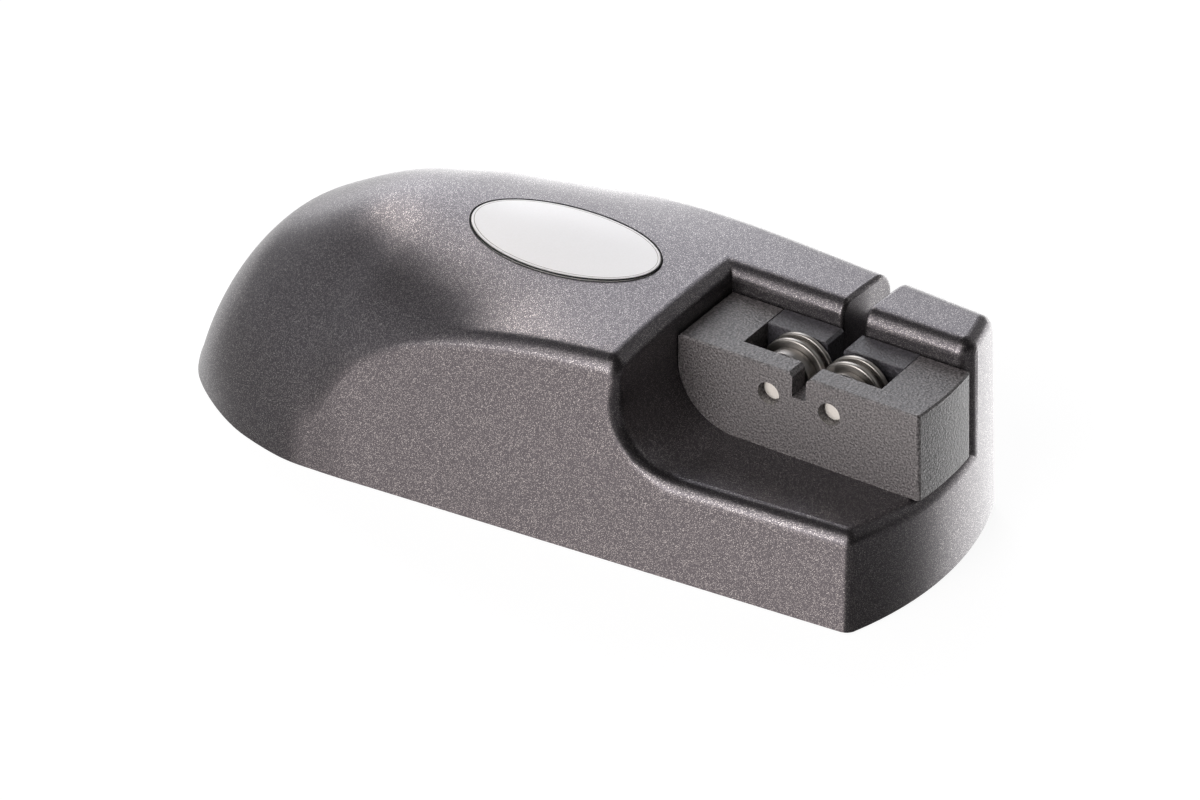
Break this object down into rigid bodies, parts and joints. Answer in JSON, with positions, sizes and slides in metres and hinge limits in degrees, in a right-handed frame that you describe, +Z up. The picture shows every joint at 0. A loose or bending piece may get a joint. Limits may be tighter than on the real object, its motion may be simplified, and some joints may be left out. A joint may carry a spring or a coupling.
{
  "type": "manual knife sharpener",
  "caption": "Palm-sized manual knife sharpener: moulded grip housing with a knife slot over two interleaved steel disc rollers in a side pocket.",
  "frame": {"origin": "on the table, under the middle of the overall box; the feet stand at Z 0", "axes": "+X along the length towards the sharpening end, -Y to the side with the open pocket, +Z up"},
  "size_m": [0.2, 0.089, 0.0545],
  "materials": {
    "housing_plastic": "satin graphite with fine metallic flecks",
    "base_plastic": "matt black",
    "screw_steel": "zinc plated",
    "foot_rubber": "matt",
    "badge_plastic": "pearl white satin",
    "adhesive_foam": "matt foam tape",
    "block_plastic": "fine leather grain",
    "keeper_plastic": "fine grain",
    "pin_steel": "ground",
    "disc_steel": "satin, fine ground",
    "spacer_steel": "dark satin",
    "washer_steel": "satin"
  },
  "bodies": {
    "body": {"housing_shell": "housing_plastic", "base_plate": "base_plastic", "base_screws": "screw_steel", "foot_front_left": "foot_rubber", "foot_front_right": "foot_rubber", "foot_rear_left": "foot_rubber", "foot_rear_right": "foot_rubber", "badge_plate": "badge_plastic", "badge_adhesive": "adhesive_foam", "roller_block": "block_plastic", "block_keeper": "keeper_plastic", "block_screws": "screw_steel", "left_axle_pin": "pin_steel", "right_axle_pin": "pin_steel"},
    "left_roller": {"left_rear_washer": "washer_steel", "left_rear_disc": "disc_steel", "left_middle_spacer": "spacer_steel", "left_front_disc": "disc_steel", "left_front_spacer": "spacer_steel", "left_front_washer": "washer_steel"},
    "right_roller": {"right_rear_spacer": "spacer_steel", "right_rear_disc": "disc_steel", "right_middle_spacer": "spacer_steel", "right_front_disc": "disc_steel", "right_front_spacer": "spacer_steel", "right_front_washer": "washer_steel"}
  },
  "joints": [
    {"name": "left_roller_spin", "type": "hinge", "parent": "body", "child": "left_roller", "pos_m": [0.05905, 0, 0.0399], "axis": [0, 1, 0], "continuous": true},
    {"name": "right_roller_spin", "type": "hinge", "parent": "body", "child": "right_roller", "pos_m": [0.07475, 0, 0.0399], "axis": [0, 1, 0], "continuous": true}
  ]
}
